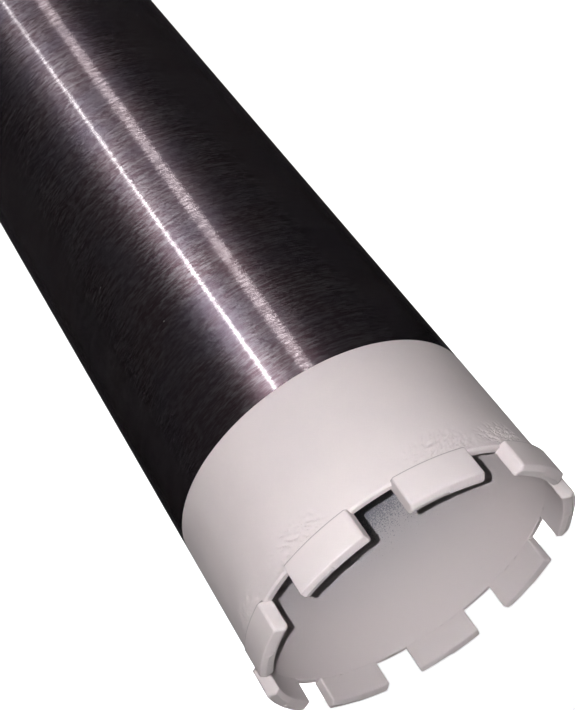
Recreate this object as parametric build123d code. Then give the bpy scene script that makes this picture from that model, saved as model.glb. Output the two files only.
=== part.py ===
"""Diamond core bit for wet drilling: steel barrel, end cap, threaded hub, diamond segments.

Millimetres. The bit stands on its hub with the cutting end up: Z = 0 is the hub's mouth face,
and the Z axis is the axis that the bit turns about.
"""

import os
from math import cos, pi, radians, tan

from build123d import *

# Cutting end
CUT_DIAMETER = 112.0          # over the segments
SEGMENT_COUNT = 9
SEGMENT_LENGTH = 24.0         # between its two parallel ends
SEGMENT_THICKNESS = 4.6
SHOULDER_HEIGHT = 9.2         # barrel rim to the foot of the roof
RIDGE_HEIGHT = 10.0           # barrel rim to the ridge
OUTER_RIDGE = 0.63            # where the ridge lies in the thickness, from the inner face
INNER_RIDGE = 0.37            # and in the other half of the same segment
SEGMENT_CORNER = 0.8          # rounding of the four upright corners
OUTER_FACE_FOOT = 0.8         # how far below the rim the outer face ends, on the foot's weld
FOOT_WELD_TOE = 1.4           # and how far below it that weld runs out on the barrel

# Barrel
BARREL_DIAMETER = 108.8
BARREL_WALL = 2.7
BARREL_LENGTH = 450.0
RIM_CHAMFER = 0.6             # on the rim's outer edge
INNER_RIM_CHAMFER = 0.25

# End cap, welded into the back of the barrel
FLANGE_THICKNESS = 6.0
REGISTER_LENGTH = 5.0         # the step that centres the cap inside the barrel
SLIP = 0.05                   # radial clearance of a part that is slid in and then welded
CAP_CHAMFER = 1.5             # on the cap's back edge
WELD_GROOVE = 1.5             # leg of each chamfer that the barrel weld fills
WELD_CROWN = 0.5
HUB_WELD_LEG = 3.5
HUB_WELD_THROAT = 0.6         # how far out the middle of that weld stands, in legs

# Hub: 1 1/4 inch, 7 threads to the inch
THREAD_MAJOR = 31.75
THREAD_PITCH = 25.4 / 7
THREAD_MINOR = THREAD_MAJOR - 1.0825 * THREAD_PITCH
HEX_ACROSS_FLATS = 41.0
HEX_LENGTH = 24.0
HEX_FACE_DIAMETER = 39.6      # flat annulus left by the chamfer on the hexagon's corners
HEX_CHAMFER_ANGLE = 30.0      # from the mouth face
COLLAR_DIAMETER = 50.0
COLLAR_LENGTH = 5.0
SPIGOT_DIAMETER = 36.0
COUNTERSINK = 2.4
BORE_EXIT_CHAMFER = 1.5

# Heights worked out from the sizes above
CAP_BACK = HEX_LENGTH + COLLAR_LENGTH
BARREL_BACK = CAP_BACK + FLANGE_THICKNESS
CAP_FRONT = BARREL_BACK + REGISTER_LENGTH
RIM = BARREL_BACK + BARREL_LENGTH

# Radii and angles worked out from the sizes above
CUT_RADIUS = CUT_DIAMETER / 2
SEGMENT_INNER_RADIUS = CUT_RADIUS - SEGMENT_THICKNESS
BARREL_RADIUS = BARREL_DIAMETER / 2
BARREL_INNER_RADIUS = BARREL_RADIUS - BARREL_WALL
BORE_RADIUS = THREAD_MINOR / 2
HALF_PITCH = 360 / SEGMENT_COUNT / 2    # degrees


def turned(*outline):
    """A full turn about Z of a closed outline, given as (radius, height) points."""
    face = make_face(Polyline(*[(r, 0, z) for r, z in outline], close=True))
    return revolve(face, Axis.Z)


def barrel_tube():
    """Plain tube with a straight rim, and a chamfer at the back for the weld."""
    return turned(
        (BARREL_INNER_RADIUS, BARREL_BACK),
        (BARREL_RADIUS - WELD_GROOVE, BARREL_BACK),
        (BARREL_RADIUS, BARREL_BACK + WELD_GROOVE),
        (BARREL_RADIUS, RIM - RIM_CHAMFER),
        (BARREL_RADIUS - RIM_CHAMFER, RIM),
        (BARREL_INNER_RADIUS + INNER_RIM_CHAMFER, RIM),
        (BARREL_INNER_RADIUS, RIM - INNER_RIM_CHAMFER),
    )


def barrel_weld():
    """The weld that fills the groove between barrel and cap, with a low flat crown."""
    crown = BARREL_RADIUS + WELD_CROWN
    return turned(
        (BARREL_RADIUS, BARREL_BACK - WELD_GROOVE),
        (BARREL_RADIUS - WELD_GROOVE, BARREL_BACK),
        (BARREL_RADIUS, BARREL_BACK + WELD_GROOVE),
        (crown, BARREL_BACK + WELD_GROOVE - WELD_CROWN),
        (crown, BARREL_BACK - WELD_GROOVE + WELD_CROWN),
    )


def hub_weld():
    """The fillet weld in the corner between the hub's collar and the cap."""
    collar = COLLAR_DIAMETER / 2
    return turned(
        (collar, CAP_BACK),
        (collar, CAP_BACK - HUB_WELD_LEG),
        (collar + HUB_WELD_LEG * HUB_WELD_THROAT, CAP_BACK - HUB_WELD_LEG * HUB_WELD_THROAT),
        (collar + HUB_WELD_LEG, CAP_BACK),
    )


def end_cap():
    """Stepped disc that closes the barrel, with both welds on it."""
    register = BARREL_INNER_RADIUS - SLIP
    disc = turned(
        (SPIGOT_DIAMETER / 2, CAP_BACK),
        (BARREL_RADIUS - CAP_CHAMFER, CAP_BACK),
        (BARREL_RADIUS, CAP_BACK + CAP_CHAMFER),
        (BARREL_RADIUS, BARREL_BACK - WELD_GROOVE),
        (BARREL_RADIUS - WELD_GROOVE, BARREL_BACK),
        (register, BARREL_BACK),
        (register, CAP_FRONT),
        (SPIGOT_DIAMETER / 2, CAP_FRONT),
    )
    return disc + barrel_weld() + hub_weld()


def threaded_hub():
    """Hexagon and collar in one piece, with a spigot through the cap and a bore all the way."""
    corner_radius = HEX_ACROSS_FLATS / 2 / cos(pi / 6)
    face_radius = HEX_FACE_DIAMETER / 2
    corner_chamfer = (corner_radius - face_radius) * tan(radians(HEX_CHAMFER_ANGLE))
    hexagon = extrude(
        RegularPolygon(HEX_ACROSS_FLATS / 2, 6, major_radius=False), HEX_LENGTH
    )
    corners_off = turned(
        (0, 0),
        (face_radius, 0),
        (corner_radius, corner_chamfer),
        (corner_radius, HEX_LENGTH),
        (0, HEX_LENGTH),
    )
    collar_and_spigot = turned(
        (0, HEX_LENGTH),
        (COLLAR_DIAMETER / 2, HEX_LENGTH),
        (COLLAR_DIAMETER / 2, CAP_BACK),
        (SPIGOT_DIAMETER / 2 - SLIP, CAP_BACK),
        (SPIGOT_DIAMETER / 2 - SLIP, CAP_FRONT),
        (0, CAP_FRONT),
    )
    bore = turned(
        (0, 0),
        (BORE_RADIUS + COUNTERSINK, 0),
        (BORE_RADIUS, COUNTERSINK),
        (BORE_RADIUS, CAP_FRONT - BORE_EXIT_CHAMFER),
        (BORE_RADIUS + BORE_EXIT_CHAMFER, CAP_FRONT),
        (0, CAP_FRONT),
    )
    return (hexagon & corners_off) + collar_and_spigot - bore


def ring_sector(ridge_place, start_angle):
    """Half a pitch of ring with a segment's profile, from its weld on the rim up to its roof."""
    ridge = SEGMENT_INNER_RADIUS + ridge_place * SEGMENT_THICKNESS
    profile = Polyline(
        (SEGMENT_INNER_RADIUS, 0, RIM),
        (BARREL_RADIUS - RIM_CHAMFER, 0, RIM),
        (BARREL_RADIUS, 0, RIM - RIM_CHAMFER),
        (BARREL_RADIUS, 0, RIM - FOOT_WELD_TOE),
        (CUT_RADIUS, 0, RIM - OUTER_FACE_FOOT),
        (CUT_RADIUS, 0, RIM + SHOULDER_HEIGHT),
        (ridge, 0, RIM + RIDGE_HEIGHT),
        (SEGMENT_INNER_RADIUS, 0, RIM + SHOULDER_HEIGHT),
        close=True,
    )
    return Rot(0, 0, start_angle) * revolve(make_face(profile), Axis.Z, HALF_PITCH)


def diamond_segment(middle_angle):
    """One segment on the rim: part of a ring, cut off square at both ends. Its two halves carry
    the ridge nearer the inner and nearer the outer face, so that it starts a cut quietly."""
    ring = ring_sector(INNER_RIDGE, -HALF_PITCH) + ring_sector(OUTER_RIDGE, 0)
    between_ends = Box(2 * CUT_DIAMETER, SEGMENT_LENGTH, 4 * RIDGE_HEIGHT)
    segment = ring & Pos(0, 0, RIM) * between_ends
    upright = [e for e in segment.edges().filter_by(Axis.Z) if e.length > SHOULDER_HEIGHT / 2]
    return Rot(0, 0, middle_angle) * fillet(upright, SEGMENT_CORNER)


def main():
    pieces = {
        "barrel_tube": barrel_tube(),
        "end_cap": end_cap(),
        "threaded_hub": threaded_hub(),
    }
    for i in range(SEGMENT_COUNT):
        pieces[f"diamond_segment_{i + 1}"] = diamond_segment(i * 360 / SEGMENT_COUNT)

    os.makedirs("parts", exist_ok=True)
    for node, piece in pieces.items():
        export_step(piece, f"parts/{node}.step")
    print(f"bore radius {BORE_RADIUS:.3f}, wall from {COUNTERSINK} to {CAP_FRONT - BORE_EXIT_CHAMFER}")
    print(f"rim at {RIM}, ridge at {RIM + RIDGE_HEIGHT}")


main()
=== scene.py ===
# %% [markdown]
# # A diamond core bit
# A core bit is a steel tube that drills a ring and leaves a core of concrete standing inside it. Its
# cutting end carries arc-shaped segments of metal full of diamond grit, and its back carries a threaded
# hub. The CAD model comes first: it fixes every size and place, in metres, with the bit standing on its
# hub along Z.

# %% Load the frame
import math

import bmesh
import bpy
from mathutils import Matrix, Vector


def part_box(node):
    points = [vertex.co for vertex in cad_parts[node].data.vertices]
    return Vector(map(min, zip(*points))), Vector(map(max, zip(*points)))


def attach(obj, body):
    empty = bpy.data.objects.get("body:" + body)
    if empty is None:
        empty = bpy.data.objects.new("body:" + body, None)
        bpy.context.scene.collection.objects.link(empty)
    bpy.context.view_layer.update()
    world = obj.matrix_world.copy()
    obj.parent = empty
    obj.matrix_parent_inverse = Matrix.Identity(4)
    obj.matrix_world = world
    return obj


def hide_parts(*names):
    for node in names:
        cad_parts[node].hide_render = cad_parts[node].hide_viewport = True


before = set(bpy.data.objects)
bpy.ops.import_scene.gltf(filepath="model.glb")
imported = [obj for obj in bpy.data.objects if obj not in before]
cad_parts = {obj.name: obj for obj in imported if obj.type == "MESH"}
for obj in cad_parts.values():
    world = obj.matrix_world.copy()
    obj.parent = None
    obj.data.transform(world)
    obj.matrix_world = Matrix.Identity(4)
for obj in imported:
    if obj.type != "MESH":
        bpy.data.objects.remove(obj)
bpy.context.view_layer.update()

MM = 0.001
print("pieces in the frame:", sorted(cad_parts))

# %% [markdown]
# ## Sizes
# Whatever the frame can tell is read from it, so the looks follow the CAD model if it changes. The rest
# are the real sizes that a box around a piece doesn't show, such as how thick the tube is.

# %% Sizes read from the frame
barrel_low, barrel_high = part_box("barrel_tube")
cap_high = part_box("end_cap")[1]
segment_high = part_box("diamond_segment_1")[1]
hub_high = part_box("threaded_hub")[1]

BARREL_BACK = barrel_low.z
RIM = barrel_high.z
BARREL_RADIUS = barrel_high.x
CUT_RADIUS = segment_high.x
RIDGE = segment_high.z
CAP_FRONT = cap_high.z
HUB_RADIUS = hub_high.x
SEGMENTS = len([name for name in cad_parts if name.startswith("diamond_segment_")])
PITCH_ANGLE = 2 * math.pi / SEGMENTS
print(f"{SEGMENTS} segments, rim at {RIM / MM:.0f} mm, barrel radius {BARREL_RADIUS / MM:.1f} mm")

# %% Sizes that a box doesn't show
WALL = 2.7 * MM
INNER_RADIUS = BARREL_RADIUS - WALL
PAINT_BAND = 46.8 * MM
PAINT_EDGE = RIM - PAINT_BAND
RIM_CHAMFER = 0.6 * MM
INNER_RIM_CHAMFER = 0.25 * MM
SEGMENT_THICKNESS = 4.6 * MM
SEGMENT_LENGTH = 24 * MM
SHOULDER_DROP = 0.8 * MM
OUTER_FACE_FOOT = 0.8 * MM
FOOT_WELD_TOE = 1.4 * MM
RIDGE_PLACES = (0.37, 0.63)
THREAD_MAJOR = 31.75 / 2 * MM
THREAD_MINOR = 13.911 * MM
THREAD_PITCH = 25.4 / 7 * MM
HEX_FLAT = 20.5 * MM
HEX_LENGTH = 24 * MM
HEX_TURN = 30
FLANGE = 6 * MM
CAP_BACK = BARREL_BACK - FLANGE
HAIR = 0.01 * MM
print(f"wall {WALL / MM} mm, painted band {PAINT_BAND / MM} mm, thread pitch {THREAD_PITCH / MM:.3f} mm")

# %% [markdown]
# ## Small tools for node trees
# Geometry Nodes and shaders are both trees of nodes, so one helper adds a node to either: it sets the
# node's options and then fills each input with a value or with another node's output. Arithmetic gets
# short names, because these trees are full of it.

# %% Helpers for any node tree
def add(tree, kind, inputs=(), **options):
    """Adds a node, sets its options, and fills its inputs by place or by name."""
    made = tree.nodes.new(kind)
    for option, value in options.items():
        setattr(made, option, value)
    pairs = inputs.items() if isinstance(inputs, dict) else enumerate(inputs)
    for place, value in pairs:
        if isinstance(value, bpy.types.NodeSocket):
            tree.links.new(value, made.inputs[place])
        elif value is not None:
            made.inputs[place].default_value = value
    return made


def maths(tree, operation, *values):
    return add(tree, "ShaderNodeMath", values, operation=operation).outputs[0]


def plus(tree, a, b):
    return maths(tree, "ADD", a, b)


def minus(tree, a, b):
    return maths(tree, "SUBTRACT", a, b)


def times(tree, a, b):
    return maths(tree, "MULTIPLY", a, b)


def over(tree, a, b):
    return maths(tree, "DIVIDE", a, b)


def parts_of(tree, vector):
    """The x, y and z of a vector."""
    return tuple(add(tree, "ShaderNodeSeparateXYZ", [vector]).outputs)


def vector_of(tree, x, y, z):
    return add(tree, "ShaderNodeCombineXYZ", [x, y, z]).outputs[0]


def position_of(tree):
    """Where each point of the geometry is."""
    return add(tree, "GeometryNodeInputPosition").outputs[0]


def noise(tree, vector, scale, detail=2.0, roughness=0.5):
    """A cloudy pattern from 0 to 1."""
    inputs = {"Vector": vector, "Scale": scale, "Detail": detail, "Roughness": roughness}
    return add(tree, "ShaderNodeTexNoise", inputs).outputs["Fac"]


def between(tree, value, low, high, to_low=0.0, to_high=1.0, smooth=True):
    """Turns a value between low and high into one between to_low and to_high, and holds it at the ends."""
    kind = "SMOOTHSTEP" if smooth else "LINEAR"
    inputs = {"Value": value, "From Min": low, "From Max": high, "To Min": to_low, "To Max": to_high}
    return add(tree, "ShaderNodeMapRange", inputs, interpolation_type=kind).outputs["Result"]


SOCKETS = {
    float: "NodeSocketFloat", int: "NodeSocketInt",
    tuple: "NodeSocketVector", str: "NodeSocketGeometry"}


def new_tree(name, kind, inputs, outputs):
    """A node tree with named inputs and outputs. A socket's kind follows from its value, "" for geometry."""
    tree = bpy.data.node_groups.new(name, kind)
    for title, value in inputs.items():
        made = tree.interface.new_socket(title, in_out="INPUT", socket_type=SOCKETS[type(value)])
        if not isinstance(value, str):
            made.default_value = value
    for title, value in outputs.items():
        tree.interface.new_socket(title, in_out="OUTPUT", socket_type=SOCKETS[type(value)])
    start = tree.nodes.new("NodeGroupInput").outputs
    end = tree.nodes.new("NodeGroupOutput").inputs
    return tree, start, end


print("helpers ready")

# %% [markdown]
# ## Turning a profile about the axis
# Nearly everything on a core bit was turned on a lathe. The tree below does the same: it takes a line of
# points, which is the piece's outline on one side of the axis, and gives a grid whose columns are that
# outline at evenly spaced angles. A Screw modifier would do it too, but here the angle and height stay at
# hand for what follows, such as wrinkles beside a segment or flats on a hexagon.

# %% The turning tree
DOUBLES = 0.001 * MM


def cylindrical(tree):
    """Radius, angle and height of each point, from its position."""
    x, y, z = parts_of(tree, position_of(tree))
    squares = plus(tree, times(tree, x, x), times(tree, y, y))
    return maths(tree, "SQRT", squares), maths(tree, "ARCTAN2", y, x), z


def placed(tree, radius, angle, height):
    """The position that these three numbers stand for."""
    x = times(tree, radius, maths(tree, "COSINE", angle))
    y = times(tree, radius, maths(tree, "SINE", angle))
    return vector_of(tree, x, y, height)


def moved_to(tree, mesh, position):
    return add(tree, "GeometryNodeSetPosition", {"Geometry": mesh, "Position": position}).outputs[0]


def transformed(tree, mesh, **how):
    return add(tree, "GeometryNodeTransform", {"Geometry": mesh, **how}).outputs[0]


def merged(tree, mesh, distance):
    inputs = {"Geometry": mesh, "Distance": distance}
    return add(tree, "GeometryNodeMergeByDistance", inputs).outputs[0]


def turning_tree():
    inputs = {"Outline": "", "Around": 64}
    tree, start, end = new_tree("turn_about_axis", "GeometryNodeTree", inputs, {"Mesh": ""})
    count = add(tree, "GeometryNodeAttributeDomainSize", [start["Outline"]]).outputs["Point Count"]
    columns = plus(tree, start["Around"], 1.0)
    grid = add(tree, "GeometryNodeMeshGrid", {"Vertices X": columns, "Vertices Y": count}).outputs["Mesh"]
    index = add(tree, "GeometryNodeInputIndex").outputs[0]
    row = maths(tree, "FLOORED_MODULO", index, count)
    column = maths(tree, "FLOOR", over(tree, plus(tree, index, 0.5), count))
    point = add(tree, "GeometryNodeSampleIndex", data_type="FLOAT_VECTOR", domain="POINT")
    tree.links.new(start["Outline"], point.inputs["Geometry"])
    tree.links.new(position_of(tree), point.inputs["Value"])
    tree.links.new(row, point.inputs["Index"])
    radius, _, height = parts_of(tree, point.outputs[0])
    angle = times(tree, over(tree, column, start["Around"]), 2 * math.pi)
    turned = moved_to(tree, grid, placed(tree, radius, angle, height))
    tree.links.new(merged(tree, turned, DOUBLES), end["Mesh"])
    return tree


TURNING = turning_tree()


def turn(tree, outline, around):
    """A mesh from the turning tree, inside another tree."""
    group = add(tree, "GeometryNodeGroup", node_tree=TURNING)
    tree.links.new(outline, group.inputs["Outline"])
    tree.links.new(around, group.inputs["Around"])
    return group.outputs["Mesh"]


print("turning tree:", len(TURNING.nodes), "nodes")

# %% [markdown]
# A piece made by a tree is turned into a plain mesh before it joins the frame. Its doubles are merged
# already, so the normals can be set to point outwards, and edges sharper than a given angle stay crisp
# while the rest is shaded smooth.

# %% From a tree to a plain piece
def outline_object(name, points):
    """The points (radius, height) as a line of edges in the XZ plane, for a tree to turn."""
    mesh = bpy.data.meshes.new(name)
    mesh.from_pydata([(r, 0, z) for r, z in points], [(i, i + 1) for i in range(len(points) - 1)], [])
    made = bpy.data.objects.new(name, mesh)
    bpy.context.scene.collection.objects.link(made)
    return made


def grow(base, tree, values, name, crisp=35):
    """Runs a tree on the base object with these input values, and keeps the result as a plain mesh."""
    modifier = base.modifiers.new(tree.name, "NODES")
    modifier.node_group = tree
    sockets = {s.name: s.identifier for s in tree.interface.items_tree if s.in_out == "INPUT"}
    for input_name, value in values.items():
        modifier[sockets[input_name]] = value
    bpy.context.view_layer.update()
    graph = bpy.context.evaluated_depsgraph_get()
    mesh = bpy.data.meshes.new_from_object(base.evaluated_get(graph), depsgraph=graph)
    bpy.data.objects.remove(base)
    mesh.name = name
    work = bmesh.new()
    work.from_mesh(mesh)
    bmesh.ops.remove_doubles(work, verts=work.verts, dist=DOUBLES)
    bmesh.ops.recalc_face_normals(work, faces=work.faces)
    work.to_mesh(mesh)
    open_edges = sum(1 for e in work.edges if not e.is_manifold)
    work.free()
    mesh.shade_smooth()
    mesh.set_sharp_from_angle(angle=math.radians(crisp))
    made = bpy.data.objects.new(name, mesh)
    bpy.context.scene.collection.objects.link(made)
    worn = [m.name for m in mesh.materials if m]
    print(f"{name}: {len(mesh.polygons)} faces, {open_edges} open edges, materials {worn}")
    return made


def joined(tree, *meshes):
    join = tree.nodes.new("GeometryNodeJoinGeometry")
    for mesh in meshes:
        tree.links.new(mesh, join.inputs[0])
    return join.outputs[0]


def ending(tree, end, mesh, pairs):
    """Realize Instances and one Set Material for each (material, selection) close every tree."""
    mesh = add(tree, "GeometryNodeRealizeInstances", [mesh]).outputs[0]
    for material, selection in pairs:
        inputs = {"Geometry": mesh, "Material": material}
        if selection is not None:
            inputs["Selection"] = selection
        mesh = add(tree, "GeometryNodeSetMaterial", inputs).outputs[0]
    tree.links.new(mesh, end["Mesh"])


print("a tree's result can be kept as a plain piece")

# %% [markdown]
# ## Finishes as shader groups
# Every effect that more than one material uses is a node group. Each reads a position in the piece's own
# space and puts out masks or heights only, so the material itself keeps the Principled shader. The first
# is the grain that a belt or a lathe tool leaves: fine lines round the axis, much longer than they are
# wide.

# %% Grain round the axis
BROAD_LINES = 0.23
FINE_SHARE = 0.65


def turned_lines(tree, position, length, width):
    """The streaks and the height of lines that are this long and this wide."""
    along = over(tree, 1.0, length)
    across = over(tree, 1.0, width)
    x, y, z = parts_of(tree, position)
    stretched = []
    for share in (1.0, BROAD_LINES):
        squeezed = times(tree, z, times(tree, across, share))
        stretched.append(vector_of(tree, times(tree, x, along), times(tree, y, along), squeezed))
    fine = noise(tree, stretched[0], 1.0, detail=3.0, roughness=0.65)
    broad = noise(tree, stretched[1], 1.0)
    mixed = plus(tree, times(tree, fine, FINE_SHARE), times(tree, broad, 1 - FINE_SHARE))
    return between(tree, mixed, 0.32, 0.68), mixed


def turned_grain_group():
    inputs = {"Position": (0.0, 0.0, 0.0), "Length": 0.03, "Width": 0.0004}
    tree, start, end = new_tree("turned_grain", "ShaderNodeTree", inputs, {"Streak": 0.0, "Height": 0.0})
    streak, height = turned_lines(tree, start["Position"], start["Length"], start["Width"])
    tree.links.new(streak, end["Streak"])
    tree.links.new(height, end["Height"])
    return tree


TURNED_GRAIN = turned_grain_group()
print("turned grain:", len(TURNED_GRAIN.nodes), "nodes")

# %% [markdown]
# Spray paint dries with a very fine pebble, and its tone drifts a little where the coat is thicker. Both
# come from noise at two sizes. The same group serves the band, the segments and the overspray inside.

# %% Grain of sprayed paint
DRIFT_SHARE = 0.75


def paint_grain_group():
    inputs = {"Position": (0.0, 0.0, 0.0), "Pebble": 0.0005, "Drift": 0.02}
    tree, start, end = new_tree("paint_grain", "ShaderNodeTree", inputs, {"Tone": 0.0, "Height": 0.0})
    pebbles = noise(tree, start["Position"], over(tree, 1.0, start["Pebble"]), roughness=0.6)
    drift = noise(tree, start["Position"], over(tree, 1.0, start["Drift"]), detail=3.0, roughness=0.55)
    tone = plus(tree, times(tree, drift, DRIFT_SHARE), times(tree, pebbles, 1 - DRIFT_SHARE))
    tree.links.new(between(tree, tone, 0.3, 0.7), end["Tone"])
    tree.links.new(pebbles, end["Height"])
    return tree


PAINT_GRAIN = paint_grain_group()
print("paint grain:", len(PAINT_GRAIN.nodes), "nodes")

# %% [markdown]
# Specks are what dust and tiny nicks look like from a step away: a few pale points, far apart. A Voronoi
# pattern gives each cell one point, and only the cells with a low random value keep theirs.

# %% Specks
def specks_group():
    inputs = {"Position": (0.0, 0.0, 0.0), "Spacing": 0.006, "Size": 0.05, "Share": 0.2}
    tree, start, end = new_tree("specks", "ShaderNodeTree", inputs, {"Mask": 0.0})
    pattern = {"Vector": start["Position"], "Scale": over(tree, 1.0, start["Spacing"])}
    cells = add(tree, "ShaderNodeTexVoronoi", pattern).outputs
    luck = add(tree, "ShaderNodeSeparateColor", [cells["Color"]]).outputs[0]
    chosen = maths(tree, "LESS_THAN", luck, start["Share"])
    near = maths(tree, "LESS_THAN", cells["Distance"], start["Size"])
    tree.links.new(times(tree, chosen, near), end["Mask"])
    return tree


SPECKS = specks_group()
print("specks:", len(SPECKS.nodes), "nodes")

# %% [markdown]
# Every material starts the same way: a Principled shader whose plain numbers are set on its own sockets,
# and the piece's own coordinates to read. The helpers make that start, place a group with its values, mix
# two colours, turn a height map into a normal, and feed what comes out to the shader.

# %% Helpers for materials
def new_material(name, **constants):
    """A material with one Principled shader, whose plain numbers are set on its own sockets."""
    material = bpy.data.materials.new(name)
    material.use_nodes = True
    tree = material.node_tree
    tree.nodes.clear()
    named = {title.replace("_", " "): value for title, value in constants.items()}
    shader = add(tree, "ShaderNodeBsdfPrincipled", named)
    add(tree, "ShaderNodeOutputMaterial", [shader.outputs[0]])
    position = add(tree, "ShaderNodeTexCoord").outputs["Object"]
    return material, tree, shader.inputs, position


def use(tree, group, position, **values):
    """Places a shader group in a material with its own values."""
    node = add(tree, "ShaderNodeGroup", node_tree=group)
    tree.links.new(position, node.inputs["Position"])
    for name, value in values.items():
        node.inputs[name].default_value = value
    return node.outputs


def blend(tree, share, first, second):
    """A colour between two, each a colour or another node's output."""
    node = add(tree, "ShaderNodeMix", {"Factor": share}, data_type="RGBA")
    for value, place in ((first, 6), (second, 7)):
        if isinstance(value, bpy.types.NodeSocket):
            tree.links.new(value, node.inputs[place])
        else:
            node.inputs[place].default_value = (*value, 1.0)
    return node.outputs[2]


def bump(tree, height, distance, strength):
    """A normal that makes the surface look as uneven as this height map, up to this distance."""
    inputs = {"Height": height, "Distance": distance, "Strength": strength}
    return add(tree, "ShaderNodeBump", inputs).outputs[0]


def feed(tree, shader, **outputs):
    """Links each output to the shader's input of that name."""
    for name, output in outputs.items():
        tree.links.new(output, shader[name.replace("_", " ")])


print("material helpers ready")

# %% [markdown]
# ## The bare steel of the barrel
# The tube is dark, nearly black steel, ground round its axis. Two layers make its shine. The first is
# broad: the ground lines scatter light to all sides, most of all along the tube. The second is a thin
# polish on top of the lines, which draws a lamp out into one narrow bright line. Short streaks decide how
# much polish a spot has and how bright its steel is, so the shine breaks up the way that real grinding
# does. One narrow band down the tube has been rubbed shinier than the rest and holds more of the polish.
# What a group puts out feeds only the Principled shader, so the lines are laid out once more in the
# material itself to share out the polish.

# %% Barrel steel
GUNMETAL_DARK = (0.0120, 0.0078, 0.0094)
GUNMETAL_BRIGHT = (0.0230, 0.0205, 0.0222)
GUNMETAL_BLUE = (0.0125, 0.0112, 0.0150)
DUST = (0.12, 0.115, 0.11)
POLISH = (0.20, 0.188, 0.192, 1.0)
WEAK_EDGE_GLOW = (0.12, 0.11, 0.115, 1.0)
QUARTER_TURN = 0.25
FINE_LINES = (0.0028, 0.00014)
LONG_LINES = (0.02, 0.0004)
RUBBED_ANGLE = -67.0
RUBBED_HALF = 4.5
RUBBED_FADE = 3.0
POLISH_ELSEWHERE = 0.34


def rubbed_band(tree, position):
    """1 along the narrow band that is rubbed shinier, and less in the rest of the tube."""
    x, y, _ = parts_of(tree, position)
    angle = times(tree, maths(tree, "ARCTAN2", y, x), 180 / math.pi)
    off = maths(tree, "ABSOLUTE", minus(tree, angle, RUBBED_ANGLE))
    return between(tree, off, RUBBED_HALF, RUBBED_HALF + RUBBED_FADE, 1.0, POLISH_ELSEWHERE)


def polish_over(tree, share, normal):
    """A thin layer of very directional shine, mixed over a material's own shader."""
    polish = add(tree, "ShaderNodeBsdfAnisotropic", {
        "Color": POLISH, "Roughness": 0.26, "Anisotropy": 0.9, "Normal": normal})
    output = next(node for node in tree.nodes if node.type == "OUTPUT_MATERIAL")
    own = next(node for node in tree.nodes if node.type == "BSDF_PRINCIPLED")
    both = add(tree, "ShaderNodeMixShader", [share, own.outputs[0], polish.outputs[0]])
    tree.links.new(both.outputs[0], output.inputs["Surface"])


def both_lines(tree, fine, long):
    """The fine lines and the long ones as one pattern of streaks."""
    return between(tree, plus(tree, fine, times(tree, long, 0.5)), 0.62, 1.08)


def barrel_steel():
    material, tree, shader, position = new_material(
        "bare_barrel_steel", Metallic=1.0, Anisotropic=1.0, Anisotropic_Rotation=QUARTER_TURN,
        Specular_Tint=WEAK_EDGE_GLOW)
    fine = use(tree, TURNED_GRAIN, position, Length=FINE_LINES[0], Width=FINE_LINES[1])
    long = use(tree, TURNED_GRAIN, position, Length=LONG_LINES[0], Width=LONG_LINES[1])
    streak = both_lines(tree, fine["Streak"], long["Streak"])
    clouds = noise(tree, position, 40.0, detail=4.0, roughness=0.6)
    mottle = between(tree, clouds, 0.36, 0.68)
    specks = use(tree, SPECKS, position, Spacing=0.007, Size=0.045, Share=0.12)
    colour = blend(tree, streak, GUNMETAL_DARK, GUNMETAL_BRIGHT)
    colour = blend(tree, times(tree, mottle, 0.55), colour, GUNMETAL_BLUE)
    colour = blend(tree, specks["Mask"], colour, DUST)
    rough = between(tree, streak, 0.0, 1.0, 0.42, 0.56, smooth=False)
    rough = plus(tree, rough, times(tree, mottle, 0.02))
    grooves = bump(tree, fine["Height"], 0.05 * MM, 0.9)
    feed(tree, shader, Base_Color=colour, Roughness=rough, Normal=grooves)
    fine_streak, fine_height = turned_lines(tree, position, *FINE_LINES)
    long_streak, _ = turned_lines(tree, position, *LONG_LINES)
    share = between(tree, both_lines(tree, fine_streak, long_streak), 0.0, 1.0, 0.04, 0.13)
    share = times(tree, share, rubbed_band(tree, position))
    polish_over(tree, share, bump(tree, fine_height, 0.015 * MM, 0.4))
    return material


BARREL_STEEL = barrel_steel()
print("barrel steel:", len(BARREL_STEEL.node_tree.nodes), "nodes")

# %% [markdown]
# ## The paint
# The cutting end was sprayed a pale warm grey after the segments were joined, so tube and segments share one
# coat. It is a matt paint: rough, with only a weak reflection. A thin strip at each segment's foot is
# darker: painted shade in the corner that it makes with the barrel.

# %% Paint on the band and the segments
PAINT = (0.715, 0.636, 0.636)
PAINT_THIN = (0.680, 0.605, 0.610)
# Colour of the painted shade in the crease at a segment's foot, and how far above the foot it reaches.
CREASE_SHADE_COLOUR = (0.16, 0.13, 0.135)
SEAM_FOOT = RIM - OUTER_FACE_FOOT
CREASE_SHADE_HEIGHT = 0.5 * MM


def sprayed_paint(name, pebble, depth, crease_shade_share):
    material, tree, shader, position = new_material(name, Specular_IOR_Level=0.05)
    grain = use(tree, PAINT_GRAIN, position, Pebble=pebble, Drift=0.018)
    colour = blend(tree, grain["Tone"], PAINT_THIN, PAINT)
    height = parts_of(tree, position)[2]
    # Painted shade: a dark strip just above each segment's foot, in the crease that it makes with the
    # barrel.
    crease_shade = between(tree, height, SEAM_FOOT, SEAM_FOOT + CREASE_SHADE_HEIGHT, 1.0, 0.0)
    colour = blend(tree, times(tree, crease_shade, crease_shade_share), colour, CREASE_SHADE_COLOUR)
    rough = between(tree, grain["Tone"], 0.0, 1.0, 0.62, 0.5, smooth=False)
    feed(tree, shader, Base_Color=colour, Roughness=rough, Normal=bump(tree, grain["Height"], depth, 0.5))
    return material


BAND_PAINT = sprayed_paint("band_paint", pebble=0.0006, depth=0.05 * MM, crease_shade_share=0.0)
SEGMENT_PAINT = sprayed_paint("segment_paint", pebble=0.0004, depth=0.06 * MM, crease_shade_share=0.7)
print("paints:", BAND_PAINT.name, SEGMENT_PAINT.name)

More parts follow.
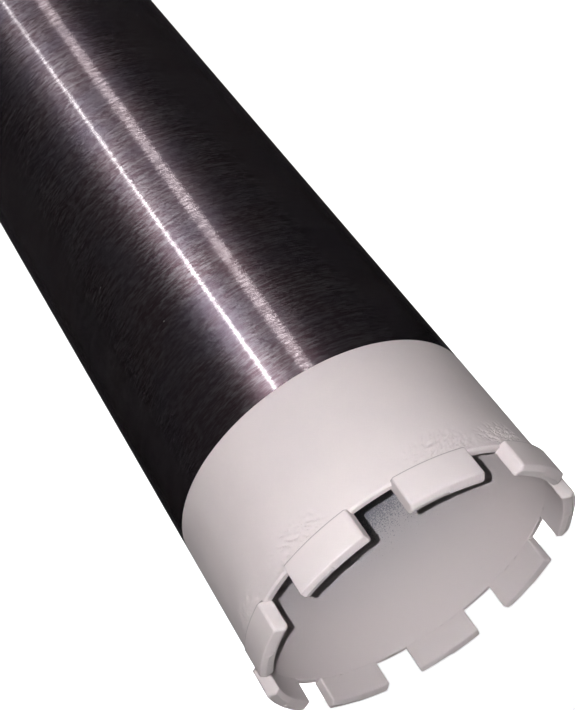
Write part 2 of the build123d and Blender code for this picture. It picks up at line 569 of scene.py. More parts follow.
# %% [markdown]
# Inside the tube the same spray lands thick near the mouth and thins out into separate droplets further
# down, until the steel is bare. One material mixes the two by a mask: the depth below the rim decides how
# likely a spot is painted, and fine noise decides which spots are. A pale tube also lights itself from
# inside, which would wash out its shadows, so light that bounces off this wall finds it darker than the
# camera does.

# %% Overspray inside the barrel
SOLID_COAT = 26 * MM
LAST_DROPLETS = 70 * MM
INSIDE_PAINT = (0.71, 0.632, 0.634)
# A darker, bluer grey for deeper in: partly thinner paint, partly painted shade of the tube's depth.
THIN_COAT_AND_SHADE = (0.45, 0.425, 0.45)
UNDER_SPRAY = (0.27, 0.265, 0.30)
INNER_STEEL = (0.10, 0.095, 0.10)
BLACK = (0.0, 0.0, 0.0)
DAMPED = 0.6


def droplet_mask(tree, position, depth):
    """1 where a spot is painted. Deeper in, fewer spots are."""
    likely = between(tree, depth, SOLID_COAT, LAST_DROPLETS, 1.0, 0.0)
    droplets = noise(tree, position, 2200.0, roughness=0.6)
    threshold = between(tree, likely, 0.0, 1.0, 0.78, 0.22, smooth=False)
    return between(tree, minus(tree, droplets, threshold), -0.05, 0.05)


def inside_steel():
    material, tree, shader, position = new_material("barrel_inside", Specular_IOR_Level=0.05)
    grain = use(tree, TURNED_GRAIN, position, Length=0.012, Width=0.0008)
    coat = use(tree, PAINT_GRAIN, position, Pebble=0.0006, Drift=0.02)
    depth = minus(tree, RIM, parts_of(tree, position)[2])
    painted = droplet_mask(tree, position, depth)
    # The paint darkens with depth below the rim: partly a thinner coat, partly painted shade deep in the
    # tube.
    paint = blend(tree, between(tree, depth, 8 * MM, 64 * MM), INSIDE_PAINT, THIN_COAT_AND_SHADE)
    paint = blend(tree, times(tree, coat["Tone"], 0.06), paint, PAINT_THIN)
    bare = between(tree, depth, LAST_DROPLETS, 2 * LAST_DROPLETS)
    colour = blend(tree, painted, blend(tree, bare, UNDER_SPRAY, INNER_STEEL), paint)
    bounced = add(tree, "ShaderNodeLightPath").outputs["Is Diffuse Ray"]
    colour = blend(tree, times(tree, bounced, DAMPED), colour, BLACK)
    metal = times(tree, bare, minus(tree, 1.0, painted))
    rough = between(tree, painted, 0.0, 1.0, 0.42, 0.6, smooth=False)
    height = plus(tree, times(tree, grain["Height"], 0.3), times(tree, painted, 0.7))
    relief = bump(tree, height, 0.05 * MM, 0.5)
    feed(tree, shader, Base_Color=colour, Metallic=metal, Roughness=rough, Normal=relief)
    return material


INSIDE_STEEL = inside_steel()
print("inside of the barrel:", len(INSIDE_STEEL.node_tree.nodes), "nodes")

# %% [markdown]
# ## Hub, cap and welds
# The hub was turned and milled from brighter bar steel, and the cap from darker plate. Both use the same
# grain group with other values. Weld metal is dull, and straw and blue where it was hot.

# %% Steel of the hub, the cap and the welds
HUB_DARK, HUB_BRIGHT = (0.30, 0.30, 0.31), (0.44, 0.44, 0.45)
CAP_DARK, CAP_BRIGHT = (0.13, 0.125, 0.13), (0.22, 0.215, 0.22)
WELD_GREY = (0.16, 0.15, 0.155)
STRAW = (0.20, 0.165, 0.12)
TEMPER_BLUE = (0.10, 0.11, 0.16)


def plain_steel(name, dark, bright, roughness, width):
    material, tree, shader, position = new_material(
        name, Metallic=1.0, Anisotropic=0.5, Anisotropic_Rotation=QUARTER_TURN)
    grain = use(tree, TURNED_GRAIN, position, Length=0.008, Width=width)
    colour = blend(tree, grain["Streak"], dark, bright)
    rough = between(tree, grain["Streak"], 0.0, 1.0, roughness + 0.08, roughness - 0.05)
    grooves = bump(tree, grain["Height"], 0.02 * MM, 0.5)
    feed(tree, shader, Base_Color=colour, Roughness=rough, Normal=grooves)
    return material


def weld_metal():
    material, tree, shader, position = new_material("weld_metal", Metallic=1.0)
    heat = noise(tree, position, 160.0, detail=3.0)
    tint = blend(tree, between(tree, heat, 0.4, 0.55), WELD_GREY, STRAW)
    tint = blend(tree, between(tree, heat, 0.55, 0.68), tint, TEMPER_BLUE)
    rough = between(tree, heat, 0.3, 0.7, 0.36, 0.52)
    feed(tree, shader, Base_Color=tint, Roughness=rough, Normal=bump(tree, heat, 0.1 * MM, 0.3))
    return material


HUB_STEEL = plain_steel("hub_steel", HUB_DARK, HUB_BRIGHT, roughness=0.33, width=0.0003)
CAP_STEEL = plain_steel("cap_steel", CAP_DARK, CAP_BRIGHT, roughness=0.40, width=0.0005)
WELD_METAL = weld_metal()
print("materials:", sorted(m.name for m in bpy.data.materials if m.users or m.use_nodes))

# %% [markdown]
# ## The barrel
# The barrel is one closed outline turned about the axis. Its rows are close together near the rim, where
# the surface isn't smooth, and far apart along the plain tube. The paint's edge is a row of its own, so
# the colour changes on a clean line.

# %% The barrel's outline
SOFT = 0.3 * MM
SOFT_STEPS = 3
PLAIN_ROWS = 12
BAND_ROWS = 8
FINE_ROWS = 32
FINE_STEP = 0.4 * MM
WELD_GROOVE = 1.5 * MM


def corner_arc(before, here, after, radius, steps):
    """The arc that rounds off the corner here, between the points before and after it."""
    to_before, to_after = (before - here).normalized(), (after - here).normalized()
    half = to_before.angle(to_after) / 2
    first = here + to_before * radius / math.tan(half)
    last = here + to_after * radius / math.tan(half)
    centre = here + (to_before + to_after).normalized() * radius / math.sin(half)
    flat = [first.lerp(last, i / steps) for i in range(steps + 1)]
    return [centre + (point - centre).normalized() * radius for point in flat]


def softened(points, radius):
    """A line of (radius, height) points with all its corners rounded, but not its two ends."""
    line = [Vector(point) for point in points]
    rounded = [line[0]]
    for before, here, after in zip(line, line[1:], line[2:]):
        rounded += corner_arc(before, here, after, radius, SOFT_STEPS)
    return [tuple(point) for point in rounded + [line[-1]]]


def barrel_outline():
    foot = BARREL_BACK + WELD_GROOVE
    top = RIM - RIM_CHAMFER - SOFT
    band = top - FINE_ROWS * FINE_STEP - PAINT_EDGE
    plain_rows = range(PLAIN_ROWS, 0, -1)
    heights = [PAINT_EDGE * (1 - i / PLAIN_ROWS) + foot * i / PLAIN_ROWS for i in plain_rows]
    heights += [PAINT_EDGE + band * i / BAND_ROWS for i in range(BAND_ROWS)]
    heights += [top - FINE_STEP * i for i in range(FINE_ROWS, -1, -1)]
    outside = [(BARREL_RADIUS, z) for z in heights]
    rim = softened([
        outside[-1], (BARREL_RADIUS, RIM - RIM_CHAMFER), (BARREL_RADIUS - RIM_CHAMFER, RIM),
        (INNER_RADIUS + INNER_RIM_CHAMFER, RIM), (INNER_RADIUS, RIM - INNER_RIM_CHAMFER),
        (INNER_RADIUS, top)], SOFT)
    inside = [(INNER_RADIUS, z) for z in reversed(heights[:-1:2])] + [(INNER_RADIUS, BARREL_BACK)]
    back = (BARREL_RADIUS - WELD_GROOVE, BARREL_BACK)
    return [back] + outside + rim[1:] + inside + [back]


outline = barrel_outline()
print("outline points:", len(outline))

# %% [markdown]
# Joining a segment leaves marks. The joint was dressed with a grinder that was held at a slant, so short
# folds run away from each segment's foot, and the paint goes over them. The functions below find how far
# round from the nearest segment a point is, make a patch to one side of that segment's middle, and press
# the surface inwards by a noise that is stretched along the slant. Side and slant change over from one
# segment to the next, and a random number makes some patches weaker.

# %% Wrinkles beside a segment's foot
PATCH_BELOW = 3.5 * MM
WEAKEST_PATCH = 0.55
NEXT_PATTERN = 7.3
STEEPNESS = 4.0


def wrinkle_patch(tree, start, off, below, side):
    """1 in the middle of the patch beside a segment's foot, and 0 outside it."""
    sideways = over(tree, minus(tree, off, times(tree, side, start["Patch middle"])), start["Patch reach"])
    downwards = over(tree, minus(tree, below, PATCH_BELOW), start["Patch depth"])
    distance = plus(tree, times(tree, sideways, sideways), times(tree, downwards, downwards))
    return between(tree, distance, 0.05, 1.0, 1.0, 0.0)


def folds(tree, start, off, below, side, number):
    """0 along the folds and up to 1 between them. The folds run at a slant."""
    slant = times(tree, times(tree, side, start["Slant"]), math.pi / 180)
    cosine = maths(tree, "COSINE", slant)
    sine = maths(tree, "SINE", slant)
    along = plus(tree, times(tree, off, cosine), times(tree, below, sine))
    across = minus(tree, times(tree, below, cosine), times(tree, off, sine))
    along = over(tree, along, start["Wrinkle length"])
    across = over(tree, across, start["Wrinkle width"])
    pattern = noise(tree, vector_of(tree, along, across, times(tree, number, NEXT_PATTERN)), 1.0)
    from_middle = maths(tree, "ABSOLUTE", minus(tree, pattern, 0.5))
    return maths(tree, "MINIMUM", times(tree, from_middle, STEEPNESS), 1.0)


def wrinkles(tree, start, angle, below):
    """How far the surface moves out at a point: less than 0, because wrinkles only go inwards."""
    turns = over(tree, angle, PITCH_ANGLE)
    nearest = maths(tree, "ROUND", turns)
    off = times(tree, minus(tree, turns, nearest), PITCH_ANGLE * BARREL_RADIUS)
    side = minus(tree, times(tree, maths(tree, "FLOORED_MODULO", nearest, 2.0), 2.0), 1.0)
    draw = {2: WEAKEST_PATCH, 3: 1.0, 7: nearest, 8: start["Seed"]}
    luck = add(tree, "FunctionNodeRandomValue", draw, data_type="FLOAT").outputs[1]
    patch = times(tree, wrinkle_patch(tree, start, off, below, side), luck)
    depth = times(tree, folds(tree, start, off, below, side, nearest), start["Wrinkle height"])
    return times(tree, depth, times(tree, patch, -1.0))


print("wrinkle helpers ready")

# %% [markdown]
# The tree turns the outline, moves the outer wall's points by the wrinkles, and gives paint, bare steel
# and the inside their materials by height and radius. A strip at the rim stays calm, so that the
# segments' welds still sit close on it.

# %% The barrel's tree
AROUND = 1008
CALM_STRIP = 0.6 * MM


def barrel_tree():
    inputs = {
        "Outline": "", "Around": AROUND,
        "Wrinkle height": 0.85 * MM, "Wrinkle length": 3.8 * MM, "Wrinkle width": 1.2 * MM,
        "Slant": 32.0, "Patch middle": 6.0 * MM, "Patch reach": 15.0 * MM, "Patch depth": 8.0 * MM,
        "Seed": 4}
    tree, start, end = new_tree("turned_barrel", "GeometryNodeTree", inputs, {"Mesh": ""})
    mesh = turn(tree, start["Outline"], start["Around"])
    radius, angle, height = cylindrical(tree)
    below = minus(tree, RIM, height)
    outer = maths(tree, "GREATER_THAN", radius, BARREL_RADIUS - WALL / 2)
    calm = between(tree, below, RIM_CHAMFER, FOOT_WELD_TOE + CALM_STRIP)
    strength = times(tree, outer, calm)
    moved = plus(tree, radius, times(tree, wrinkles(tree, start, angle, below), strength))
    mesh = moved_to(tree, mesh, placed(tree, moved, angle, height))
    banded = maths(tree, "GREATER_THAN", height, PAINT_EDGE)
    at_inner_wall = maths(tree, "LESS_THAN", radius, INNER_RADIUS + 0.5 * INNER_RIM_CHAMFER)
    below_rim = maths(tree, "LESS_THAN", height, RIM - 0.5 * INNER_RIM_CHAMFER)
    inner = times(tree, at_inner_wall, below_rim)
    ending(tree, end, mesh, [(BARREL_STEEL, None), (BAND_PAINT, banded), (INSIDE_STEEL, inner)])
    return tree


barrel = grow(outline_object("barrel", outline), barrel_tree(), {"Around": AROUND}, "core_barrel")
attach(barrel, "root")
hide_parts("barrel_tube")

# %% [markdown]
# ## The segments
# A segment is a bar of sintered metal and diamond grit, pressed to the cutting circle's curve and cut off
# square at both ends. Its top is a low roof whose ridge jumps from the inner half of the thickness to the
# outer half at mid-length, so that a new bit bites without chattering. The weld at its foot runs down
# over the barrel's edge. The bar is built from flat slices, side by side. Each is the section with
# rounded corners, and the last slices at each end shrink, which rounds the ends as well.

# %% A segment's section
SEGMENT_INNER = CUT_RADIUS - SEGMENT_THICKNESS
SHOULDER = RIDGE - SHOULDER_DROP
CORNER_STEPS = 4
SHARP = 0.01 * MM
FOOT_SOFT = 0.35 * MM
FACE_SOFT = 0.6 * MM
RIDGE_SOFT = 0.4 * MM


def section_corners(ridge_place):
    """(corner, its rounding, steps to the next corner, whether the side to it shrinks at the ends)"""
    ridge = SEGMENT_INNER + ridge_place * SEGMENT_THICKNESS
    return [
        (Vector((SEGMENT_INNER, RIM)), SHARP, 2, False),
        (Vector((BARREL_RADIUS - RIM_CHAMFER, RIM)), SHARP, 1, False),
        (Vector((BARREL_RADIUS, RIM - RIM_CHAMFER)), SHARP, 1, False),
        (Vector((BARREL_RADIUS, RIM - FOOT_WELD_TOE)), SHARP, 2, True),
        (Vector((CUT_RADIUS, RIM - OUTER_FACE_FOOT)), FOOT_SOFT, 10, True),
        (Vector((CUT_RADIUS, SHOULDER)), FACE_SOFT, 3, True),
        (Vector((ridge, RIDGE)), RIDGE_SOFT, 3, True),
        (Vector((SEGMENT_INNER, SHOULDER)), FACE_SOFT, 10, True),
    ]


def moved_in(corners, shrinking, distance):
    """The corners once each side that shrinks has moved inwards."""
    lines = []
    for here, there, shrinks in zip(corners, corners[1:] + corners[:1], shrinking):
        along = (there - here).normalized()
        inwards = Vector((-along.y, along.x))
        lines.append((here + inwards * (distance if shrinks else 0.0), along))
    moved = []
    for (a, u), (b, v) in zip(lines[-1:] + lines[:-1], lines):
        moved.append(a + u * ((b - a).cross(v) / u.cross(v)))
    return moved


def section(ridge_place, inset):
    """The section as a closed line of points, every corner an arc and every side evenly divided."""
    corners, radii, steps, shrinking = zip(*section_corners(ridge_place))
    corners = moved_in(list(corners), shrinking, inset)
    arcs = []
    earlier = corners[-1:] + corners[:-1]
    later = corners[1:] + corners[:1]
    for before, here, after, radius in zip(earlier, corners, later, radii):
        arcs.append(corner_arc(before, here, after, radius, CORNER_STEPS))
    points = []
    for here, there, count in zip(arcs, arcs[1:] + arcs[:1], steps):
        points += here + [here[-1].lerp(there[0], i / count) for i in range(1, count)]
    return points


print("points in a section:", len(section(RIDGE_PLACES[0], 0.0)))

# %% [markdown]
# The further a slice is from mid-length, the nearer its points lie to the bit's axis, so that both faces
# are arcs about it while the two ends stay parallel. The slices are closest together at the ends, where
# the corners are rounded, and at mid-length, where the ridge jumps.

# %% A segment from its slices
END_ROUNDING = 0.8 * MM
END_STEPS = 5
JUMP = 0.3 * MM
JUMP_SLICES = (-1, -0.33, 0.33, 1)
SLICE = 0.8 * MM


def slice_places():
    """(place along the bar, how far the section is moved in, where the ridge is) for each slice."""
    half = SEGMENT_LENGTH / 2
    plain = int((half - END_ROUNDING - JUMP) / SLICE)
    ends, sides = [], []
    for i in range(END_STEPS + 1):
        turn_in = math.radians(90 * i / END_STEPS)
        place = half - END_ROUNDING + END_ROUNDING * math.cos(turn_in)
        ends.append((place, END_ROUNDING * (1 - math.sin(turn_in))))
    for i in range(1, plain):
        sides.append((half - END_ROUNDING - (half - END_ROUNDING - JUMP) * i / plain, 0.0))
    low, high = RIDGE_PLACES
    first = [(-s, inset, low) for s, inset in ends + sides]
    jump = [(JUMP * share, 0.0, low + (high - low) * (share + 1) / 2) for share in JUMP_SLICES]
    last = [(s, inset, high) for s, inset in reversed(ends + sides)]
    return first + jump + last


def segment_mesh():
    """One segment: every slice is a ring of points, and faces join each ring to the next."""
    rings = []
    for y, inset, ridge_place in slice_places():
        rings.append([(math.sqrt(p.x * p.x - y * y), y, p.y) for p in section(ridge_place, inset)])
    size = len(rings[0])
    faces = [tuple(range(size)), tuple(reversed(range((len(rings) - 1) * size, len(rings) * size)))]
    for ring in range(len(rings) - 1):
        here, there = ring * size, (ring + 1) * size
        for i in range(size):
            j = (i + 1) % size
            faces.append((here + i, there + i, there + j, here + j))
    mesh = bpy.data.meshes.new("segment_slices")
    mesh.from_pydata([point for ring in rings for point in ring], [], faces)
    return mesh


slices = segment_mesh()
print("faces in a segment:", len(slices.polygons))

# %% [markdown]
# The nine segments are the same part, seated a ninth of a turn apart. One tree seats a copy at a given
# angle and makes its faces slightly uneven with a noise of its own seed, because a sprayed sinter surface
# is never flat.

# %% Nine segments in their seats
MOSTLY_INWARDS = 0.62
SEED_STEP = 1.7


def seating_tree():
    inputs = {"Segment": "", "Turn": 0.0, "Unevenness": 0.07 * MM, "Lump size": 3.5 * MM, "Seed": 1.0}
    tree, start, end = new_tree("seat_segment", "GeometryNodeTree", inputs, {"Mesh": ""})
    turned = vector_of(tree, 0.0, 0.0, start["Turn"])
    seated = transformed(tree, start["Segment"], Rotation=turned)
    lumps = add(tree, "ShaderNodeTexNoise", {
        "Vector": position_of(tree), "W": start["Seed"], "Scale": over(tree, 1.0, start["Lump size"]),
        "Detail": 3.0, "Roughness": 0.5}, noise_dimensions="4D").outputs["Fac"]
    depth = times(tree, minus(tree, lumps, MOSTLY_INWARDS), start["Unevenness"])
    normal = add(tree, "GeometryNodeInputNormal").outputs[0]
    inputs = {"Vector": normal, "Scale": depth}
    push = add(tree, "ShaderNodeVectorMath", inputs, operation="SCALE").outputs[0]
    uneven = add(tree, "GeometryNodeSetPosition", {"Geometry": seated, "Offset": push}).outputs[0]
    ending(tree, end, uneven, [(SEGMENT_PAINT, None)])
    return tree


SEATING = seating_tree()
for number in range(SEGMENTS):
    blank = bpy.data.objects.new("blank", slices.copy())
    bpy.context.scene.collection.objects.link(blank)
    values = {"Turn": number * PITCH_ANGLE, "Seed": number * SEED_STEP}
    segment = grow(blank, SEATING, values, f"segment_{number + 1}", crisp=60)
    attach(segment, "root")
    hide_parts(f"diamond_segment_{number + 1}")

# %% [markdown]
# ## The threaded hub
# The hub is a hexagon for the spanner, a collar, and a spigot that goes through the cap, with a thread in
# its bore. The outside is turned first and then cut to the six flats: wherever the turned radius passes a
# flat, the flat wins. The chamfer on the corners comes out by itself, with the curved edges that a real
# nut has.

# %% The hub's outside
HUB_AROUND = 180
SPIGOT_RADIUS = 17.95 * MM
FACE_RADIUS = 19.8 * MM
CORNER_RADIUS = HEX_FLAT / math.cos(math.pi / 6)
CHAMFER_RISE = math.tan(math.radians(30))
CHAMFER_ROWS = 14
HEX_ROWS = (5 * MM, 12 * MM, HEX_LENGTH)
COUNTERSINK = 2.4 * MM
EXIT_CHAMFER = 1.5 * MM
SOFT_EDGE = 0.4 * MM


def hub_outline():
    outwards = [(CORNER_RADIUS - FACE_RADIUS) * i / CHAMFER_ROWS for i in range(CHAMFER_ROWS + 1)]
    chamfer = [(FACE_RADIUS + out, out * CHAMFER_RISE) for out in outwards]
    side = [(CORNER_RADIUS, z) for z in HEX_ROWS]
    collar = [(HUB_RADIUS - SOFT_EDGE, HEX_LENGTH), (HUB_RADIUS, HEX_LENGTH + SOFT_EDGE)]
    collar += [(HUB_RADIUS, CAP_BACK), (SPIGOT_RADIUS, CAP_BACK)]
    spigot = [(SPIGOT_RADIUS, CAP_FRONT), (THREAD_MINOR + EXIT_CHAMFER, CAP_FRONT)]
    return [(THREAD_MINOR + COUNTERSINK, 0.0)] + chamfer + side + collar + spigot


print("hub outline:", len(hub_outline()), "points")

# %% [markdown]
# A thread is a groove whose section is swept along a helix. Here the bore's own grid does it: each row
# climbs by one pitch in one turn, so a row keeps its place in the groove all the way, and the end of one
# row meets the start of the row one pitch above. Heights are held inside the bore, and the countersink
# and the exit chamfer cut through the thread where they are wider.

# %% The thread and the whole hub
ROWS_IN_PITCH = 16
CREST_SHARE = 0.25
FLANK_SHARE = 0.625
FADE = 3 * MM
SIXTH = math.pi / 3


def threaded_bore(tree, start):
    turns = math.ceil(CAP_FRONT / THREAD_PITCH) + 2
    rows = turns * ROWS_IN_PITCH + 1
    columns = plus(tree, start["Around"], 1.0)
    grid = add(tree, "GeometryNodeMeshGrid", {"Vertices X": columns, "Vertices Y": rows}).outputs["Mesh"]
    index = add(tree, "GeometryNodeInputIndex").outputs[0]
    row = over(tree, maths(tree, "FLOORED_MODULO", index, rows), ROWS_IN_PITCH)
    column = maths(tree, "FLOOR", over(tree, plus(tree, index, 0.5), rows))
    turned = over(tree, column, start["Around"])
    climbed = times(tree, minus(tree, plus(tree, row, turned), 1.0), start["Pitch"])
    height = maths(tree, "MINIMUM", maths(tree, "MAXIMUM", climbed, 0.0), CAP_FRONT)
    wave = maths(tree, "ABSOLUTE", minus(tree, times(tree, maths(tree, "FRACT", row), 2.0), 1.0))
    groove = between(tree, wave, CREST_SHARE, CREST_SHARE + FLANK_SHARE, smooth=False)
    kept = between(tree, height, CAP_FRONT - FADE, CAP_FRONT - 0.5 * FADE, 1.0, 0.0)
    groove = times(tree, groove, kept)
    deep = minus(tree, start["Major radius"], start["Minor radius"])
    thread = plus(tree, start["Minor radius"], times(tree, groove, deep))
    mouth = minus(tree, THREAD_MINOR + COUNTERSINK, height)
    exit_cone = plus(tree, height, THREAD_MINOR + EXIT_CHAMFER - CAP_FRONT)
    radius = maths(tree, "MAXIMUM", thread, maths(tree, "MAXIMUM", mouth, exit_cone))
    return moved_to(tree, grid, placed(tree, radius, times(tree, turned, 2 * math.pi), height))


def hub_tree():
    inputs = {
        "Outline": "", "Around": HUB_AROUND, "Flat": HEX_FLAT,
        "Pitch": THREAD_PITCH, "Minor radius": THREAD_MINOR, "Major radius": THREAD_MAJOR}
    tree, start, end = new_tree("threaded_hub", "GeometryNodeTree", inputs, {"Mesh": ""})
    mesh = turn(tree, start["Outline"], start["Around"])
    radius, angle, height = cylindrical(tree)
    sixths = over(tree, minus(tree, angle, math.radians(HEX_TURN)), SIXTH)
    off = times(tree, minus(tree, sixths, maths(tree, "ROUND", sixths)), SIXTH)
    flat = over(tree, start["Flat"], maths(tree, "COSINE", off))
    cut = maths(tree, "MINIMUM", radius, flat)
    low = maths(tree, "LESS_THAN", height, HEX_LENGTH + HAIR)
    on_hexagon = times(tree, low, maths(tree, "LESS_THAN", radius, CORNER_RADIUS + HAIR))
    final = plus(tree, radius, times(tree, on_hexagon, minus(tree, cut, radius)))
    outside = moved_to(tree, mesh, placed(tree, final, angle, height))
    both = joined(tree, outside, threaded_bore(tree, start))
    ending(tree, end, merged(tree, both, 2 * DOUBLES), [(HUB_STEEL, None)])
    return tree


hub = grow(outline_object("hub", hub_outline()), hub_tree(), {"Around": HUB_AROUND}, "hub")
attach(hub, "root")
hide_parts("threaded_hub")

# %% [markdown]
# ## The end cap and its welds
# The cap is a turned disc with a step that fits inside the barrel. It is welded on both sides: to the
# barrel round its rim, and to the hub's collar. A weld bead is a row of overlapping drops of metal, so
# each bead is one drop, placed many times along a circle, leaning back on the drop before it.

# %% The cap's tree
SLIP = 0.05 * MM
CAP_REGISTER = INNER_RADIUS - SLIP
CAP_CHAMFER = 1.5 * MM
CAP_HOLE = 18 * MM
CAP_AROUND = 256
DROP_SPACING = 1.5 * MM
DROP_SIZE = (1.35 * MM, 1.3 * MM, 1.9 * MM)
DROP_LEAN = math.radians(-28)
CROWN = 0.45 * MM
CORNER_OFFSET = 1.3 * MM


def cap_outline():
    back = (CAP_HOLE, CAP_BACK)
    return [
        back,
        (BARREL_RADIUS - CAP_CHAMFER, CAP_BACK),
        (BARREL_RADIUS, CAP_BACK + CAP_CHAMFER),
        (BARREL_RADIUS, BARREL_BACK - WELD_GROOVE),
        (BARREL_RADIUS - WELD_GROOVE, BARREL_BACK),
        (CAP_REGISTER, BARREL_BACK),
        (CAP_REGISTER, CAP_FRONT),
        (CAP_HOLE, CAP_FRONT),
        back,
    ]


def bead(tree, start, radius, height, tilt):
    """Drops of weld metal along a circle about the axis, each turned to face outwards."""
    count = maths(tree, "FLOOR", over(tree, 2 * math.pi * radius, start["Drop spacing"]))
    circle = add(tree, "GeometryNodeMeshCircle", {"Vertices": count, "Radius": radius}).outputs[0]
    lifted = transformed(tree, circle, Translation=(0, 0, height))
    shape = {"Segments": 12, "Rings": 8, "Radius": 1.0}
    ball = add(tree, "GeometryNodeMeshUVSphere", shape).outputs["Mesh"]
    drop = transformed(tree, ball, Scale=DROP_SIZE)
    drop = transformed(tree, drop, Rotation=(0.0, 0.0, DROP_LEAN))
    drop = transformed(tree, drop, Rotation=(0.0, tilt, 0.0))
    x, y, _ = parts_of(tree, position_of(tree))
    facing = vector_of(tree, 0.0, 0.0, maths(tree, "ARCTAN2", y, x))
    seats = {"Points": lifted, "Instance": drop, "Rotation": facing}
    return add(tree, "GeometryNodeInstanceOnPoints", seats).outputs[0]


def cap_tree():
    inputs = {"Outline": "", "Around": CAP_AROUND, "Drop spacing": DROP_SPACING}
    tree, start, end = new_tree("end_cap", "GeometryNodeTree", inputs, {"Mesh": ""})
    disc = turn(tree, start["Outline"], start["Around"])
    disc = add(tree, "GeometryNodeSetMaterial", {"Geometry": disc, "Material": CAP_STEEL}).outputs[0]
    rim_circle = BARREL_RADIUS + CROWN - DROP_SIZE[0]
    barrel_bead = bead(tree, start, rim_circle, BARREL_BACK, 0.0)
    hub_circle = HUB_RADIUS + CORNER_OFFSET
    hub_bead = bead(tree, start, hub_circle, CAP_BACK - CORNER_OFFSET, math.radians(45))
    drops = joined(tree, barrel_bead, hub_bead)
    drops = add(tree, "GeometryNodeRealizeInstances", [drops]).outputs[0]
    drops = add(tree, "GeometryNodeSetMaterial", {"Geometry": drops, "Material": WELD_METAL}).outputs[0]
    ending(tree, end, joined(tree, disc, drops), [])
    return tree


cap = grow(outline_object("cap", cap_outline()), cap_tree(), {"Around": CAP_AROUND}, "end_cap_and_welds")
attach(cap, "root")
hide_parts("end_cap")

# %% [markdown]
# ## The floor and what surrounds it
# The bit stands on a plain white floor. For the camera and for reflections the floor glows, so that it
# stays white out to the horizon, but the glow lights nothing. The shadow still shows, since the glow is a
# little weaker close to the bit.

# %% The floor
FLOOR_RADIUS = 9.0
FLOOR_GREY = (0.85, 0.85, 0.85, 1.0)
WHITE = (1.0, 1.0, 1.0, 1.0)
GLOW_NEAR = 0.93
GLOW_GROWS = (0.1, 0.9)


def seen_directly(tree):
    """1 for camera, glossy and transmission rays, else 0."""
    path = add(tree, "ShaderNodeLightPath").outputs
    seen = maths(tree, "MAXIMUM", path["Is Camera Ray"], path["Is Glossy Ray"])
    return maths(tree, "MAXIMUM", seen, path["Is Transmission Ray"])


def white_floor_material():
    material = bpy.data.materials.new("white_floor")
    material.use_nodes = True
    tree = material.node_tree
    tree.nodes.clear()
    position = add(tree, "ShaderNodeTexCoord").outputs["Object"]
    far = add(tree, "ShaderNodeVectorMath", [position], operation="LENGTH").outputs["Value"]
    glow = times(tree, between(tree, far, *GLOW_GROWS, GLOW_NEAR, 1.0), seen_directly(tree))
    shader = add(tree, "ShaderNodeBsdfPrincipled", {
        "Base Color": FLOOR_GREY, "Roughness": 0.9, "Specular IOR Level": 0.0,
        "Emission Color": WHITE, "Emission Strength": glow})
    add(tree, "ShaderNodeOutputMaterial", [shader.outputs[0]])
    return material


floor_mesh = bpy.data.meshes.new("floor")
disc = bmesh.new()
bmesh.ops.create_circle(disc, cap_ends=True, segments=96, radius=FLOOR_RADIUS)
disc.to_mesh(floor_mesh)
disc.free()
floor = bpy.data.objects.new("floor", floor_mesh)
floor_mesh.materials.append(white_floor_material())
bpy.context.scene.collection.objects.link(floor)
print("floor radius:", FLOOR_RADIUS, "m")

# %% [markdown]
# The world is white to the camera and in reflections. As a light it is very dim, so that the lamps alone
# model the bit.

# %% The world
AMBIENT = 0.015
world = bpy.data.worlds.new("soft_white")
bpy.context.scene.world = world
world.use_nodes = True
tree = world.node_tree
tree.nodes.clear()
strength = between(tree, seen_directly(tree), 0.0, 1.0, AMBIENT, 1.0, smooth=False)
sky = add(tree, "ShaderNodeBackground", {"Color": WHITE, "Strength": strength})
add(tree, "ShaderNodeOutputWorld", [sky.outputs[0]])
print("ambient light:", AMBIENT)

# %% [markdown]
# ## The camera
# The camera looks down over the cutting end, from close by and rolled well over, so the tube runs off the
# edge of the frame. The frame is shifted a little off the lens's own middle.

# %% The camera
CAMERA_PLACE = Vector((0.1779, -0.2658, 0.6281))
HEADING = math.radians(124.004)
PITCH = math.radians(-32.885)
ROLL = math.radians(-144.645)
LENS = 56.983
FRAME_SHIFT = (-0.0320, 0.1051)

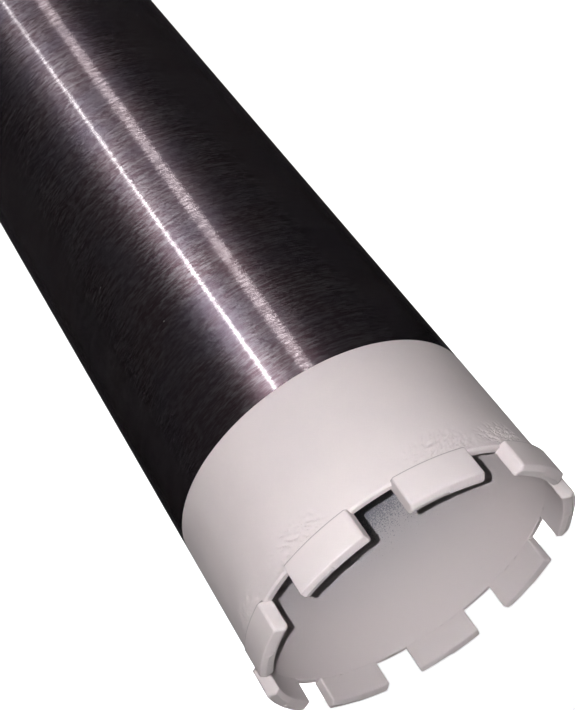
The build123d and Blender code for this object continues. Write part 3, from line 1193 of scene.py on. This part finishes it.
ahead = Vector((
    math.cos(PITCH) * math.cos(HEADING),
    math.cos(PITCH) * math.sin(HEADING),
    math.sin(PITCH),
))
level = ahead.cross(Vector((0, 0, 1))).normalized()
upright = level.cross(ahead)
camera_up = upright * math.cos(ROLL) + level * math.sin(ROLL)
camera_right = ahead.cross(camera_up)
camera_data = bpy.data.cameras.new("camera")
camera_data.lens = LENS
camera_data.shift_x, camera_data.shift_y = FRAME_SHIFT
camera = bpy.data.objects.new("camera", camera_data)
camera.matrix_world = Matrix((
    (camera_right.x, camera_up.x, -ahead.x, CAMERA_PLACE.x),
    (camera_right.y, camera_up.y, -ahead.y, CAMERA_PLACE.y),
    (camera_right.z, camera_up.z, -ahead.z, CAMERA_PLACE.z),
    (0, 0, 0, 1),
))
bpy.context.scene.collection.objects.link(camera)
bpy.context.scene.camera = camera
bpy.context.scene.view_settings.view_transform = "Standard"
print("camera right:", [round(v, 4) for v in camera_right])

# %% [markdown]
# ## The lamps
# A small lamp right beside the lens does most of the work: it lights the paint from the front and gives
# the crisp, narrow shadows. Two more shine only in reflections: one beside the lens draws the bright line
# down the tube, and a pinkish disc further round draws the soft ribbon next to it. Wide soft lamps fill
# in from the side, from above and from behind, so the bit reads well all round.

# %% Lamps
PINKISH = (1.0, 0.90, 0.92)
AIM = Vector((0, 0, 0.4))


def lamp(name, kind, place, power, colour=(1, 1, 1), glossy_only=False, **sizes):
    """A lamp that looks at the bit. One that is glossy_only shines in reflections and lights nothing."""
    data = bpy.data.lights.new(name, kind)
    data.energy = power
    data.color = colour
    for size_name, value in sizes.items():
        setattr(data, size_name, value)
    made = bpy.data.objects.new(name, data)
    made.location = place
    made.rotation_euler = (AIM - Vector(place)).to_track_quat("-Z", "Y").to_euler()
    made.visible_diffuse = not glossy_only
    made.visible_camera = False
    bpy.context.scene.collection.objects.link(made)
    return made


def round_about(azimuth, distance, height):
    """A place at this azimuth and distance from the axis, at this height."""
    angle = math.radians(azimuth)
    return distance * math.cos(angle), distance * math.sin(angle), height


beside_lens = CAMERA_PLACE - camera_right * 9.5 * MM + camera_up * 1.0 * MM
near_lens = CAMERA_PLACE - camera_right * 5.5 * MM
lamp("key", "POINT", beside_lens, 4.55, shadow_soft_size=0.4 * MM)
lamp("streak", "POINT", near_lens, 56.0, glossy_only=True, shadow_soft_size=1.8 * MM)
lamp("pink_streak", "AREA", round_about(-79, 1.2, 0.95), 48.0, PINKISH, glossy_only=True,
     shape="DISK", size=0.17)
lamp("side", "AREA", round_about(35, 1.3, 0.75), 0.5, shape="DISK", size=0.6)
lamp("top", "AREA", (-0.2, 0.1, 1.9), 0.8, shape="DISK", size=1.0)
lamp("back", "AREA", round_about(125, 1.3, 0.3), 8.0, shape="DISK", size=0.8)
